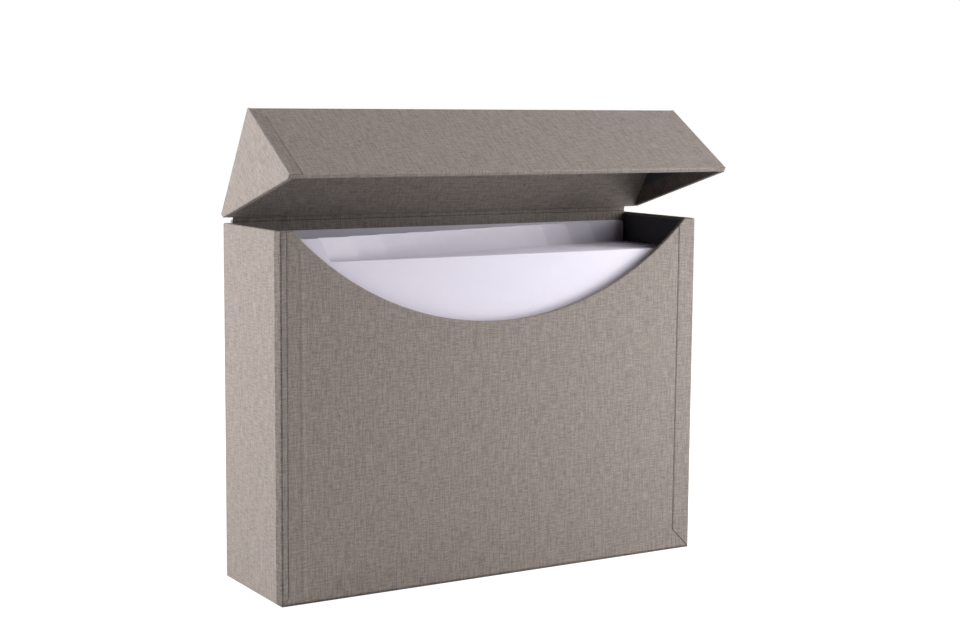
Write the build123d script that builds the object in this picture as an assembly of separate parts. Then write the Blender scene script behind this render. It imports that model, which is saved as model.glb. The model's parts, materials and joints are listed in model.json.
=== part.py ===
from build123d import *
import os

# A rigid file box: greyboard walls covered in linen book cloth, black paper inside, a
# scooped front, and a hinged lid with a front flap and triangular cheeks. Twelve tabbed
# card dividers and a backing sheet stand inside. Millimetres. The origin is the centre
# of the underside, +X is the box's right seen from the front, +Y is its back, +Z is up.

# Sheet materials
board = 3.0             # greyboard of every panel
cloth = 0.3             # linen book cloth
lining = 0.2            # black lining paper
card = 0.5              # divider card

# Box, outside
box_width = 330.0
box_depth = 91.6
box_height = 244.5
corner_radius = 1.2     # upright corners, where the cloth rolls over the boards
pressed_length = 7.7    # the front left corner is pressed in along the side, over this length
pressed_depth = 0.7     # by this much at the front
scoop_side = 9.5        # straight rim left at each end of the hand scoop
scoop_drop = 66.0       # depth of the hand scoop below the rim
turn_left = 5.5         # left side cloth turned onto the front and the back
turn_right = 14.0       # right side cloth turned onto the front and the back
rim_lip = 2.0           # cloth turned down inside the rim, above the lining

# Lid, drawn shut and then opened
lid_gap = 0.3           # air between the rim and the lid's underside when shut
flap_gap = 0.5          # air between the box front and the flap when shut
cheek_gap = 2.1         # air between each side of the box and a cheek
flap_cover = 5.4        # how far the shut flap reaches below the scoop
lid_edge_radius = 1.0   # fold between the top and the flap
lid_corner_radius = 0.9  # cloth rolled over the ends of the top and the flap
lid_turn_left = 9.5     # cheek cloth turned onto the flap and the top
lid_turn_right = 14.0
flap_lip = 12.0         # cloth turned up inside the flap and the cheeks
lid_open = 57.5         # degrees that the lid stands open

# Hinge, along X at the back
hinge_rise = 4.0        # hinge line above the rim
lid_setback = 2.8       # from the hinge line to the lid's rear edge
strip_gap = 0.35        # air round the bead on the hinge line
strip = 0.6             # two layers of cloth
tongue_height = 32.0    # board glued inside the back, which carries the hinge
tongue_rise = 2.4       # how far the tongue stands above the rim
bead_forward = 0.9      # from the tongue's front to the hinge line
glued_length = 10.7     # hinge cloth glued down the tongue
end_gap = 0.3           # air at each end of the tongue

# Dividers
divider_count = 12
divider_gap = 2.0       # air at each side
tab_headroom = 6.0      # from the top of a tab to the rim
tab_height = 15.5
tab_flare = 6.5         # how far a tab's sides spread towards the shoulder
tab_radius = 4.0
tab_margin_left = 1.5   # from the card's left edge to the first tab
tab_margin_right = 13.0  # from the last tab to the card's right edge
front_room = 3.75       # air in front of the first divider
rear_room = 2.45        # air behind the last divider
backing_gap = 0.5       # air between the backing sheet and the hinge strip
sheet_corner_radius = 3.0

# Worked out
wall_side = cloth + board + lining
wall_front = 2 * cloth + board + lining
half_width = box_width / 2
half_depth = box_depth / 2
inner_x = half_width - wall_side
inner_y = half_depth - wall_front
floor_z = cloth + board + lining
scoop_half_width = half_width - scoop_side
scoop_radius = (scoop_half_width ** 2 + scoop_drop ** 2) / (2 * scoop_drop)
scoop_centre_z = box_height - scoop_drop + scoop_radius
far = 2 * (box_width + box_height)   # past everything, for cutting

tongue = board + 2 * cloth
hinge_y = inner_y - tongue - bead_forward
hinge_z = box_height + hinge_rise

lid_half_width = half_width + cheek_gap + wall_side
lid_under = box_height + lid_gap
lid_top = lid_under + cloth + board + 2 * cloth
lid_front = -(half_depth + flap_gap + lining + board + 2 * cloth)
lid_rear = hinge_y - lid_setback
flap_end = box_height - scoop_drop - flap_cover
flap_inner_y = lid_front + 2 * cloth + board + lining
cheek_inner_x = lid_half_width - wall_side

divider_width = 2 * (inner_x - divider_gap)
shoulder_z = box_height - tab_headroom - tab_height
tab_width = (divider_width - tab_margin_left - tab_margin_right) / divider_count
backing_y = hinge_y - strip / 2 - backing_gap - card / 2
divider_first_y = -inner_y + front_room + card / 2
divider_last_y = backing_y - card - rear_room


def block(x0, x1, y0, y1, z0, z1):
    """A box between two corners."""
    return Pos((x0 + x1) / 2, (y0 + y1) / 2, (z0 + z1) / 2) * Box(x1 - x0, y1 - y0, z1 - z0)


def front_view(points, y0, y1):
    """A prism along Y on (x, z) points."""
    face = make_face(Polyline([(x, y0, z) for x, z in points], close=True))
    return extrude(face, amount=y1 - y0, dir=(0, 1, 0))


def side_view(points, x0, x1):
    """A prism along X on (y, z) points."""
    face = make_face(Polyline([(x0, y, z) for y, z in points], close=True))
    return extrude(face, amount=x1 - x0, dir=(1, 0, 0))


# ---------------------------------------------------------------- the box

def pressed_corner(offset):
    """Everything past the pressed flat beside the front left corner, moved in by offset."""
    flat = Plane(
        origin=(-half_width, pressed_length - half_depth, 0),
        x_dir=(pressed_depth, -pressed_length, 0),
        z_dir=(0, 0, 1),
    )
    return flat * Pos(0, offset - far, 0) * Box(2 * far, 2 * far, 2 * far)


def footprint(inset, z0, z1):
    """The box's rounded outline, taken in by inset, from z0 to z1."""
    outline = RectangleRounded(box_width - 2 * inset, box_depth - 2 * inset, corner_radius - inset)
    return Pos(0, 0, z0) * extrude(outline, amount=z1 - z0) - pressed_corner(inset)


def board_outline(z0, z1):
    """Where the boards may reach: one cloth in at the sides, two at the front and back."""
    reach = half_depth - 2 * cloth
    return footprint(cloth, z0, z1) & block(-far, far, -reach, reach, z0, z1)


def scoop(offset):
    """The round cutter of the hand scoop, larger by offset, through the front wall."""
    cutter = Cylinder(scoop_radius + offset, half_depth, rotation=(90, 0, 0))
    return Pos(0, -half_depth, scoop_centre_z) * cutter


def box_boards():
    """The base board and the four walls that stand on it."""
    split_x = inner_x + lining
    split_y = inner_y + lining
    walls = board_outline(cloth + board, box_height - cloth)
    front = walls & block(-far, far, -far, -split_y, 0, far)
    return {
        "base_board": board_outline(cloth, cloth + board),
        "front_board": front - scoop(cloth),
        "back_board": walls & block(-far, far, split_y, far, 0, far),
        "left_board": walls & block(-far, -split_x, -split_y, split_y, 0, far),
        "right_board": walls & block(split_x, far, -split_y, split_y, 0, far),
    }


def box_linings():
    """Black paper on the floor and on the walls, up to the turned-in cloth."""
    x = inner_x + lining
    y = inner_y + lining
    top = box_height - rim_lip
    return {
        "base_lining": block(-x, x, -y, y, floor_z - lining, floor_z),
        "front_lining": block(-x, x, -y, -inner_y, floor_z, top) - scoop(rim_lip),
        "back_lining": block(-x, x, inner_y, y, floor_z, top),
        "left_lining": block(-x, -inner_x, -inner_y, inner_y, floor_z, top),
        "right_lining": block(inner_x, x, -inner_y, inner_y, floor_z, top),
    }


def mitre(side, turn):
    """What a side cloth's turned-in strip loses at the foot, cut at 45 degrees."""
    edge = side * half_width
    inner = side * (half_width - turn)
    return front_view([(edge, 0), (edge, cloth), (inner, cloth + turn), (inner, 0)], -far, far)


def box_cloths(boards, linings):
    """The cloth: a base piece, a front and a back piece, and side pieces turned over them."""
    walls = footprint(0, cloth, box_height) - block(-inner_x, inner_x, -inner_y, inner_y, 0, far)
    walls = walls - scoop(0)
    for solid in list(boards.values()) + list(linings.values()):
        walls = walls - solid
    outer_y = half_depth - cloth
    board_y = half_depth - 2 * cloth
    under_front = block(-far, far, -outer_y, -board_y, 0, box_height - cloth)
    under_back = block(-far, far, board_y, outer_y, 0, box_height - cloth)
    x0 = -half_width + turn_left
    x1 = half_width - turn_right
    middle_front = block(x0, x1, -outer_y, 0, 0, far)
    middle_back = block(x0, x1, 0, outer_y, 0, far)
    left = walls & block(-far, x0, -far, far, 0, far)
    right = walls & block(x1, far, -far, far, 0, far)
    return {
        "base_cloth": footprint(0, 0, cloth),
        "front_cloth": (walls & under_front) + (walls & middle_front),
        "back_cloth": (walls & under_back) + (walls & middle_back),
        "left_cloth": left - under_front - under_back - mitre(-1, turn_left),
        "right_cloth": right - under_front - under_back - mitre(1, turn_right),
    }


# ---------------------------------------------------------------- the hinge

def hinge_tongue():
    """A cloth-covered board inside the back, between the side walls."""
    x = inner_x - end_gap
    y0 = inner_y - tongue
    top = box_height + tongue_rise
    foot = top - tongue_height
    core = block(-x + cloth, x - cloth, y0 + cloth, inner_y - cloth, foot + cloth, top - cloth)
    return {
        "hinge_tongue_board": core,
        "hinge_tongue_cloth": block(-x, x, y0, inner_y, foot, top) - core,
    }


def body_hinge_strip():
    """Cloth glued to the tongue's front that rises to a bead on the hinge line."""
    x = inner_x - end_gap
    back = inner_y - tongue
    front = back - strip
    bend = box_height + tongue_rise - strip
    foot = bend - glued_length
    points = [
        (back, foot),
        (back, bend),
        (hinge_y + strip / 2, hinge_z),
        (hinge_y - strip / 2, hinge_z),
        (front, bend),
        (front, foot),
    ]
    bead = Pos(0, hinge_y, hinge_z) * Cylinder(strip / 2, 2 * x, rotation=(0, 90, 0))
    return side_view(points, -x, x) + bead


def lid_hinge_strip():
    """The same cloth where it runs out of the lid's rear edge."""
    x = inner_x - end_gap
    tip = hinge_y - strip / 2 - strip_gap
    top = hinge_z + strip / 2
    return block(-x, x, lid_rear, tip, top - strip, top)


# ---------------------------------------------------------------- the lid

def lid_profile(inset):
    """The shut lid's outline from the side, with its top and flap taken in by inset."""
    fold = (lid_front + inset, lid_top - inset)
    points = [
        (lid_rear, lid_top - inset),
        fold,
        (lid_front + inset, flap_end),
        (flap_inner_y, flap_end),
        (lid_rear, lid_under),
    ]
    face = make_face(Polyline([(0, y, z) for y, z in points], close=True))
    corner = face.vertices().sort_by_distance((0, fold[0], fold[1]))[0]
    return fillet(corner, lid_edge_radius - inset)


def lid_block(inset, half):
    """The lid as a solid wedge, taken in by inset, out to half to each side."""
    return extrude(lid_profile(inset), amount=half, dir=(1, 0, 0), both=True)


def cheek_cut(offset):
    """Everything past the cheeks' slanted edge, moved in by offset."""
    edge = Plane(
        origin=(0, flap_inner_y, flap_end),
        x_dir=(0, lid_rear - flap_inner_y, lid_under - flap_end),
        z_dir=(1, 0, 0),
    )
    return edge * Pos(0, offset - far, 0) * Box(2 * far, 2 * far, 2 * far)


def lid_boards():
    """The top board, the flap board below it, and a triangular cheek at each end."""
    x = lid_half_width - cloth
    y0 = lid_front + 2 * cloth
    core = lid_block(2 * cloth, x)
    under = lid_under + cloth
    top = core & block(-x, x, y0, lid_rear - cloth, under, far)
    flap = core & block(-x, x, y0, y0 + board, flap_end + cloth, under)
    cheek_space = core & block(-far, far, y0 + board, lid_rear - cloth, 0, under)
    cheeks = cheek_space - cheek_cut(cloth)
    return {
        "lid_top_board": top,
        "lid_flap_board": flap,
        "lid_left_cheek_board": cheeks & block(-x, -x + board, -far, far, 0, far),
        "lid_right_cheek_board": cheeks & block(x - board, x, -far, far, 0, far),
    }


def lid_linings():
    """Linen under the top, black paper inside the flap and the cheeks."""
    x = cheek_inner_x + lining
    wedge = lid_block(0, far)
    inside = wedge & block(-far, far, flap_inner_y, lid_rear, 0, lid_under)
    papered = inside - cheek_cut(flap_lip)
    flap_y = flap_inner_y - lining
    return {
        "lid_inner_cloth": block(-x, x, flap_y, lid_rear, lid_under, lid_under + cloth),
        "lid_flap_lining": block(-x, x, flap_y, flap_inner_y, flap_end + flap_lip, lid_under),
        "lid_left_cheek_lining": papered & block(-x, -cheek_inner_x, -far, far, 0, far),
        "lid_right_cheek_lining": papered & block(cheek_inner_x, x, -far, far, 0, far),
    }


def lid_mitres(side, turn):
    """The 45 degree cuts of a cheek cloth at the fold, one on the flap and one on the top."""
    edge = side * lid_half_width
    inner = side * (lid_half_width - turn)
    fold = flap_inner_y
    flap = front_view([(edge, lid_top), (inner, lid_top), (inner, lid_top - turn)], -far, fold)
    corners = [(edge, lid_front), (inner, lid_front), (inner, lid_front + turn)]
    face = make_face(Polyline([(x, y, lid_under) for x, y in corners], close=True))
    return flap + extrude(face, amount=far, dir=(0, 0, 1))


def lid_cloths(boards, linings):
    """One piece over the top and the flap, and a piece on each cheek turned over it."""
    whole = lid_block(0, lid_half_width)
    end_faces = whole.faces().filter_by(Axis.X)
    outline = [(edge, edge.center()) for edge in end_faces.edges()]
    rolled = [edge for edge, at in outline if at.Z > lid_top - cloth or at.Y < lid_front + cloth]
    whole = fillet(rolled, lid_corner_radius)
    hollow = block(-cheek_inner_x, cheek_inner_x, flap_inner_y, far, 0, lid_under)
    shell = whole - hollow
    for solid in list(boards.values()) + list(linings.values()):
        shell = shell - solid
    x = lid_half_width - cloth
    under = lid_block(cloth, x)
    covered = under & block(-cheek_inner_x - lining, cheek_inner_x + lining, -far, far, 0, far)
    sheet = under - lid_block(2 * cloth, far)
    foot = under & block(-x, x, -far, flap_inner_y - lining, 0, flap_end + cloth)
    rear = under & block(-x, x, lid_rear - cloth, far, lid_under + cloth, far)
    outer_zone = covered + sheet + foot + rear
    middle_x0 = -lid_half_width + lid_turn_left
    middle_x1 = lid_half_width - lid_turn_right
    middle = block(middle_x0, middle_x1, -far, far, 0, far)
    turned = shell - outer_zone - middle
    left = block(-far, 0, -far, far, 0, far)
    right = block(0, far, -far, far, 0, far)
    return {
        "lid_outer_cloth": shell & outer_zone,
        "lid_left_cheek_cloth": (turned & left) - (lid_mitres(-1, lid_turn_left) - under),
        "lid_right_cheek_cloth": (turned & right) - (lid_mitres(1, lid_turn_right) - under),
    }


# ---------------------------------------------------------------- the dividers

def sheet_outline(top):
    """A plain card sheet from the floor up to top, with rounded upper corners."""
    x = divider_width / 2
    corners = [(-x, 0, floor_z), (x, 0, floor_z), (x, 0, top), (-x, 0, top)]
    face = make_face(Polyline(corners, close=True))
    return fillet(face.vertices().sort_by(Axis.Z)[2:], sheet_corner_radius)


def tab_outline(left, right):
    """A tab from left to right along its top, whose sides spread to the shoulder in a soft S."""
    top = shoulder_z + tab_height
    root = shoulder_z - tab_radius
    edge = -divider_width / 2
    foot = tab_flare + tab_radius
    points = [(right + foot, root), (right + foot, shoulder_z)]
    points += [(right + tab_flare, shoulder_z), (right, top)]
    if left - foot < edge:
        points += [(edge, top), (edge, root)]
        soft_from = edge
    else:
        points += [(left, top), (left - tab_flare, shoulder_z)]
        points += [(left - foot, shoulder_z), (left - foot, root)]
        soft_from = left - tab_flare
    face = make_face(Polyline([(x, 0, z) for x, z in points], close=True))
    middle = (soft_from + right + tab_flare) / 2
    reach = (right + tab_flare - soft_from) / 2 + cloth
    soft = [v for v in face.vertices() if v.Z > root + cloth and abs(v.X - middle) < reach]
    return fillet(soft, tab_radius)


def divider(index):
    """One divider, counted from the front, with its tab one step further right each time."""
    left = -divider_width / 2 + tab_margin_left + tab_width * index
    outline = sheet_outline(shoulder_z) + tab_outline(left, left + tab_width)
    share = index / (divider_count - 1)
    y = divider_first_y + share * (divider_last_y - divider_first_y)
    return Pos(0, y + card / 2, 0) * extrude(outline, amount=card, dir=(0, -1, 0))


def backing_sheet():
    """The plain sheet behind the dividers, as tall as their tabs."""
    outline = sheet_outline(shoulder_z + tab_height)
    return Pos(0, backing_y + card / 2, 0) * extrude(outline, amount=card, dir=(0, -1, 0))


# ---------------------------------------------------------------- all pieces

def build_parts():
    """Every piece by its node name, with the lid standing open."""
    parts = {}
    boards = box_boards()
    linings = box_linings()
    parts.update(boards)
    parts.update(linings)
    parts.update(box_cloths(boards, linings))
    parts.update(hinge_tongue())
    parts["body_hinge_strip"] = body_hinge_strip()

    boards = lid_boards()
    linings = lid_linings()
    shut = {**boards, **linings, **lid_cloths(boards, linings)}
    shut["lid_hinge_strip"] = lid_hinge_strip()
    opened = Pos(0, hinge_y, hinge_z) * Rot(-lid_open, 0, 0) * Pos(0, -hinge_y, -hinge_z)
    for name, solid in shut.items():
        parts[name] = opened * solid

    for index in range(divider_count):
        parts[f"divider_{index + 1:02d}"] = divider(index)
    parts["backing_sheet"] = backing_sheet()
    return parts


os.makedirs("parts", exist_ok=True)
for node, solid in build_parts().items():
    export_step(solid, f"parts/{node}.step")
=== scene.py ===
"""A cloth-covered file box with a hinged lid and tabbed card dividers, dressed around its CAD frame."""

import json
import math

import bmesh
import bpy
from mathutils import Matrix, Vector, noise


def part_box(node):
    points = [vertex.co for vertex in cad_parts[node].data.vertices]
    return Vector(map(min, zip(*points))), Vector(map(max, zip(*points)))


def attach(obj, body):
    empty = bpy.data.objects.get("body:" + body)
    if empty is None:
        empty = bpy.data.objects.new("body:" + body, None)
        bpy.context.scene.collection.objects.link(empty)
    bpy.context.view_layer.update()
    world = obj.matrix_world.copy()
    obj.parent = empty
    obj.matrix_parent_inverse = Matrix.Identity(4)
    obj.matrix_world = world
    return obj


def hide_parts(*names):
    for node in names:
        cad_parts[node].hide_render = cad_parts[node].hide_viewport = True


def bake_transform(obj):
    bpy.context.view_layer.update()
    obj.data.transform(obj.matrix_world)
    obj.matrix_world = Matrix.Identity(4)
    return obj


bl_info = {
    "name": "Linen File Box",
    "version": (1, 0, 0),
    "blender": (4, 5, 0),
    "location": "View3D > Sidebar > File Box",
    "description": "Covers a packed file box in linen book cloth, with lid, cloth hinge and card dividers",
    "category": "Object",
}

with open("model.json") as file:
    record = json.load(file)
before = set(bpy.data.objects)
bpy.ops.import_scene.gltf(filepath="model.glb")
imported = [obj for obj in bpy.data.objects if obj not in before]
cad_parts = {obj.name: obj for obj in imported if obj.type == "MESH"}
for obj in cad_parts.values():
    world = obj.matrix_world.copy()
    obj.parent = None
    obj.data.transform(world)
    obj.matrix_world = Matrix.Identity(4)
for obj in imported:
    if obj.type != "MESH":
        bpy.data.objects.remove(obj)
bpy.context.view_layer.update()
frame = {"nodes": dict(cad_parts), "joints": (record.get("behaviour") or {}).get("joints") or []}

BOX_LOW, BOX_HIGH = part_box("left_cloth")
CHEEK_LOW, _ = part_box("lid_left_cheek_cloth")
LID_HINGE = next(joint for joint in frame["joints"] if joint["name"] == "lid_hinge")
PIVOT = Vector(LID_HINGE["pos_m"])
DIVIDERS = sorted(name for name in frame["nodes"] if name.startswith("divider_"))


def linear(hex_colour):
    """An sRGB hex colour as linear red, green and blue."""
    channels = [int(hex_colour[i : i + 2], 16) / 255 for i in (1, 3, 5)]
    return tuple(c / 12.92 if c <= 0.04045 else ((c + 0.055) / 1.055) ** 2.4 for c in channels)


# ---------------------------------------------------------------- sizes and colours


def length(name, description, default):
    """A length property in metres."""
    return bpy.props.FloatProperty(
        name=name, description=description, default=default, min=0.0, unit="LENGTH", precision=5
    )


def colour(name, description, hex_colour):
    """A colour property, given as sRGB hex."""
    return bpy.props.FloatVectorProperty(
        name=name,
        description=description,
        default=linear(hex_colour),
        size=3,
        min=0.0,
        max=1.0,
        subtype="COLOR",
    )


class FileBoxSizes(bpy.types.PropertyGroup):
    """Sizes of the covering cloth and of its weave"""

    half_width: length("Half width", "From the middle to the box's side", -BOX_LOW.x)
    half_depth: length("Half depth", "From the middle to the box's front", -BOX_LOW.y)
    height: length("Height", "From the floor to the rim", BOX_HIGH.z)
    cloth: length("Cloth", "Thickness of the book cloth as glued", 0.0002)
    layer: length("Layer", "How far a turned-over strip stands proud", 0.0003)
    wall_side: length("Side wall", "Thickness of a side wall with its coverings", 0.0035)
    wall_front: length("Front wall", "Thickness of the front wall with its coverings", 0.0038)
    corner_radius: length("Corner radius", "Rounding of the upright corners", 0.0012)
    rim_radius: length("Rim radius", "Rounding where the cloth turns over an edge", 0.0010)
    foot_radius: length("Foot radius", "Rounding where the cloth turns under the base", 0.0008)
    rim_lip: length("Rim lip", "Cloth turned down inside the rim", 0.002)
    under_lip: length("Under lip", "Cloth turned under the base", 0.0095)
    turn_left: length("Left turn-over", "Left side cloth turned onto the front and back", 0.0055)
    turn_right: length("Right turn-over", "Right side cloth turned onto the front and back", 0.015)
    scoop_side: length("Scoop side", "Straight rim at each end of the hand scoop", 0.0095)
    scoop_drop: length("Scoop drop", "Depth of the hand scoop", 0.066)
    # seam_shadow_line and seam_fade give the widths of the shadow line painted along a turned-over edge;
    # seam_fade also sets how far that edge sinks.
    seam_shadow_line: length("Seam line", "Dark line along a turned-over edge", 0.0007)
    seam_fade: length("Seam fade", "Where that line has faded away", 0.0013)
    ridge_place: length("Ridge place", "Raised line on the front, from the left seam", 0.0105)
    ridge_height: length("Ridge height", "How far that line stands up", 0.00028)
    lid_half_width: length("Lid half width", "From the middle to the lid's end", -CHEEK_LOW.x)
    lid_gap: length("Lid gap", "Air between the rim and the shut lid", 0.0003)
    lid_top_wall: length("Lid top", "Thickness of the lid's top with its coverings", 0.0039)
    flap_gap: length("Flap gap", "Air between the box's front and the flap", 0.0005)
    flap_cover: length("Flap cover", "How far the shut flap reaches below the scoop", 0.0054)
    lid_setback: length("Lid setback", "From the hinge line to the lid's rear edge", 0.0028)
    lid_fold_radius: length("Lid fold radius", "Rounding between the lid's top and flap", 0.001)
    lid_corner_radius: length("Lid corner radius", "Rounding of the lid's ends", 0.0009)
    lid_turn_left: length("Left lid turn-over", "Left cheek cloth turned onto the lid", 0.0095)
    lid_turn_right: length("Right lid turn-over", "Right cheek cloth turned onto the lid", 0.014)
    lid_lip: length("Lid lip", "Cloth turned up inside the flap and cheeks", 0.012)
    hinge_cloth: length("Hinge cloth", "Thickness of the doubled hinge cloth", 0.0005)
    thread: length("Thread spacing", "Distance between neighbouring threads as drawn", 0.0009)
    slub: length("Slub length", "Length of a thick or thin stretch of thread", 0.008)
    pressed_length: length("Pressed length", "Flat pressed into the left side at its front corner", 0.0085)
    pressed_depth: length("Pressed depth", "How deep that flat goes at the corner", 0.0002)


class FileBoxColours(bpy.types.PropertyGroup):
    """Colours of the materials"""

    light_thread: colour("Light thread", "The paler yarn of the linen", "#958A83")
    dark_thread: colour("Dark thread", "The darker yarn of the linen", "#6B635E")
    # Painted shade: these two colours darken the paler and the darker yarn where shade is painted on.
    painted_shade_pale: colour("Pressed pale", "What darkens the paler yarn where it is pressed", "#C8C2C0")
    painted_shade_dark: colour("Pressed dark", "What darkens the darker yarn where it is pressed", "#7C7676")
    lining: colour("Lining", "Black lining paper", "#5A5A60")
    card: colour("Card", "Divider card", "#EEE9F4")
    # Painted shade: the colour that the cards lean towards where shade is painted on them.
    painted_card_shade: colour("Card shade", "What the darker cards lean towards", "#A29CB8")
    greyboard: colour("Greyboard", "Board inside the covering", "#8E8A83")
    floor: colour("Floor", "Studio floor and backdrop", "#C8C8C8")


def sizes():
    """The scene's sizes."""
    return bpy.context.scene.file_box_sizes


def colours():
    """The scene's colours."""
    return bpy.context.scene.file_box_colours


# ---------------------------------------------------------------- materials


def add(tree, kind, values=None, links=None, **settings):
    """Adds one node with its settings, socket values and incoming links."""
    node = tree.nodes.new(kind)
    for key, value in settings.items():
        setattr(node, key, value)
    for key, value in (values or {}).items():
        node.inputs[key].default_value = value
    for key, source in (links or {}).items():
        tree.links.new(source, node.inputs[key])
    return node


def new_material(name):
    """An empty node material and its output node."""
    material = bpy.data.materials.new(name)
    material.use_nodes = True
    material.node_tree.nodes.clear()
    output = material.node_tree.nodes.new("ShaderNodeOutputMaterial")
    return material, material.node_tree, output


def repeats(step):
    """How many times a pattern with this step, in metres, repeats along a metre."""
    return 1.0 / step


def linen_book_cloth():
    """Linen book cloth, plain woven and starched: matt, heathered by thick and thin threads both ways,
    paler and darker yarns showing as short streaks along each panel."""
    material, tree, output = new_material("linen_book_cloth")
    size, tint = sizes(), colours()
    across, along = repeats(size.thread), repeats(size.slub)
    weave = add(tree, "ShaderNodeUVMap", uv_map="weave").outputs["UV"]

    def threads(level_scale, upright_scale, low, high):
        """Streaks of one kind of thread, from 0 to 1."""
        scale = (level_scale, upright_scale, 0)
        stretched = add(tree, "ShaderNodeVectorMath", {1: scale}, {0: weave}, operation="MULTIPLY")
        streaks = add(
            tree,
            "ShaderNodeTexNoise",
            {"Scale": 1.0, "Detail": 1.0, "Roughness": 0.6},
            {"Vector": stretched.outputs["Vector"]},
            noise_dimensions="2D",
        )
        return add(
            tree,
            "ShaderNodeMapRange",
            {"From Min": low, "From Max": high},
            {"Value": streaks.outputs["Fac"]},
        ).outputs["Result"]

    # Single threads are 0.45 mm apart, which the camera can't part, so they are drawn about twice as wide.
    weave_height = threads(across, along, 0.25, 0.75)
    more = (
        (1.1, threads(along, across, 0.25, 0.75)),  # the threads that cross them
        (0.5, threads(across / 2, along / 2.5, 0.3, 0.7)),  # thick and thin stretches of yarn
        (1.5, threads(across * 1.1, across * 1.1, 0.2, 0.8)),  # single crossings
    )
    for weight, streaks in more:
        links = {0: streaks, 2: weave_height}
        weave_height = add(tree, "ShaderNodeMath", {1: weight}, links, operation="MULTIPLY_ADD").outputs[0]
    share = add(tree, "ShaderNodeMapRange", {"From Min": 0.9, "From Max": 3.1}, {"Value": weave_height})
    yarns = add(
        tree,
        "ShaderNodeMix",
        {"A": (*tint.dark_thread, 1), "B": (*tint.light_thread, 1)},
        {"Factor": share.outputs["Result"]},
        data_type="RGBA",
    )
    # This attribute is 1 where shade is painted into the cloth: dark lines along turned-over edges and
    # creases, the shaded foot and the strips turned inside.
    painted_shade = add(tree, "ShaderNodeAttribute", attribute_name="painted_shade").outputs["Fac"]
    painted_shade_colour = add(
        tree,
        "ShaderNodeMix",
        {"A": (*tint.painted_shade_dark, 1), "B": (*tint.painted_shade_pale, 1)},
        {"Factor": share.outputs["Result"]},
        data_type="RGBA",
    )
    shaded = add(
        tree,
        "ShaderNodeMix",
        links={"Factor": painted_shade, "A": yarns.outputs["Result"], "B": painted_shade_colour.outputs["Result"]},
        data_type="RGBA",
        blend_type="MULTIPLY",
    )
    relief = add(tree, "ShaderNodeBump", {"Strength": 0.5, "Distance": 0.00006}, {"Height": weave_height})
    starched = {"Roughness": 0.7, "IOR": 1.5, "Specular IOR Level": 0.45}
    nap = {"Sheen Weight": 0.05, "Sheen Roughness": 0.6}
    cloth = add(
        tree,
        "ShaderNodeBsdfPrincipled",
        {**starched, **nap},
        {"Base Color": shaded.outputs["Result"], "Normal": relief.outputs["Normal"]},
    )
    tree.links.new(cloth.outputs["BSDF"], output.inputs["Surface"])
    return material


def paper(name, base, fleck, roughness, grain, depth, specular, shade=None):
    """Pulp paper or board, made in a sheet: faint cloudy fibres and a fine tooth.

    shade names an object value, 1 or less, by which shade is painted on one sheet against the next."""
    material, tree, output = new_material(name)
    place = add(tree, "ShaderNodeTexCoord").outputs["Object"]
    fine = {"Scale": repeats(grain), "Detail": 4.0, "Roughness": 0.65}
    broad = {"Scale": repeats(grain * 25), "Detail": 2.0}
    fibres = add(tree, "ShaderNodeTexNoise", fine, {"Vector": place})
    clouds = add(tree, "ShaderNodeTexNoise", broad, {"Vector": place})
    mixed = add(
        tree,
        "ShaderNodeMath",
        {1: 0.5},
        {0: clouds.outputs["Fac"], 2: fibres.outputs["Fac"]},
        operation="MULTIPLY_ADD",
    )
    share = add(tree, "ShaderNodeMapRange", {"From Min": 0.45, "From Max": 1.05}, {"Value": mixed.outputs[0]})
    tone = add(
        tree,
        "ShaderNodeMix",
        {"A": (*fleck, 1), "B": (*base, 1)},
        {"Factor": share.outputs["Result"]},
        data_type="RGBA",
    )
    # Painted shade: a sheet's own value darkens it towards the card shade colour.
    if shade:
        own = add(tree, "ShaderNodeAttribute", attribute_name=shade, attribute_type="OBJECT").outputs["Fac"]
        tone = add(
            tree,
            "ShaderNodeMix",
            {"A": (*colours().painted_card_shade, 1)},
            {"Factor": own, "B": tone.outputs["Result"]},
            data_type="RGBA",
        )
    height = {"Height": fibres.outputs["Fac"]}
    tooth = add(tree, "ShaderNodeBump", {"Strength": 0.3, "Distance": depth}, height)
    sheet = add(
        tree,
        "ShaderNodeBsdfPrincipled",
        {"Roughness": roughness, "IOR": 1.5, "Specular IOR Level": specular},
        {"Base Color": tone.outputs["Result"], "Normal": tooth.outputs["Normal"]},
    )
    tree.links.new(sheet.outputs["BSDF"], output.inputs["Surface"])
    return material


def scaled(rgb, factor):
    """A colour made darker or lighter."""
    return tuple(min(1.0, c * factor) for c in rgb)


def black_lining_paper():
    """Dyed lining paper, calendered: near black, with a soft grey bloom where light grazes it."""
    base = colours().lining
    return paper("black_lining_paper", base, scaled(base, 0.7), 0.55, 0.0004, 0.00003, 0.4)


def smooth_card():
    """Wood-pulp card, machine finished: cool white, barely mottled, with a dull satin face."""
    base = colours().card
    return paper("smooth_divider_card", base, scaled(base, 0.93), 0.5, 0.0005, 0.00002, 0.35, "card_tone")


def greyboard():
    """Grey millboard of recycled pulp, pressed: dull grey with darker flecks."""
    base = colours().greyboard
    return paper("grey_millboard", base, scaled(base, 0.6), 0.9, 0.0009, 0.00006, 0.2)


MAKERS = {
    "linen": linen_book_cloth,
    "lining": black_lining_paper,
    "card": smooth_card,
    "greyboard": greyboard,
}
MADE = {}


def finish(name):
    """A material by its short name, made once."""
    if name not in MADE:
        MADE[name] = MAKERS[name]()
    return MADE[name]


def paint(node_name, material_name):
    """Gives a CAD node a material."""
    node = frame["nodes"][node_name]
    node.data.materials.clear()
    node.data.materials.append(finish(material_name))


# ---------------------------------------------------------------- meshes

MERGE = 1e-6  # points nearer than this are one


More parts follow.
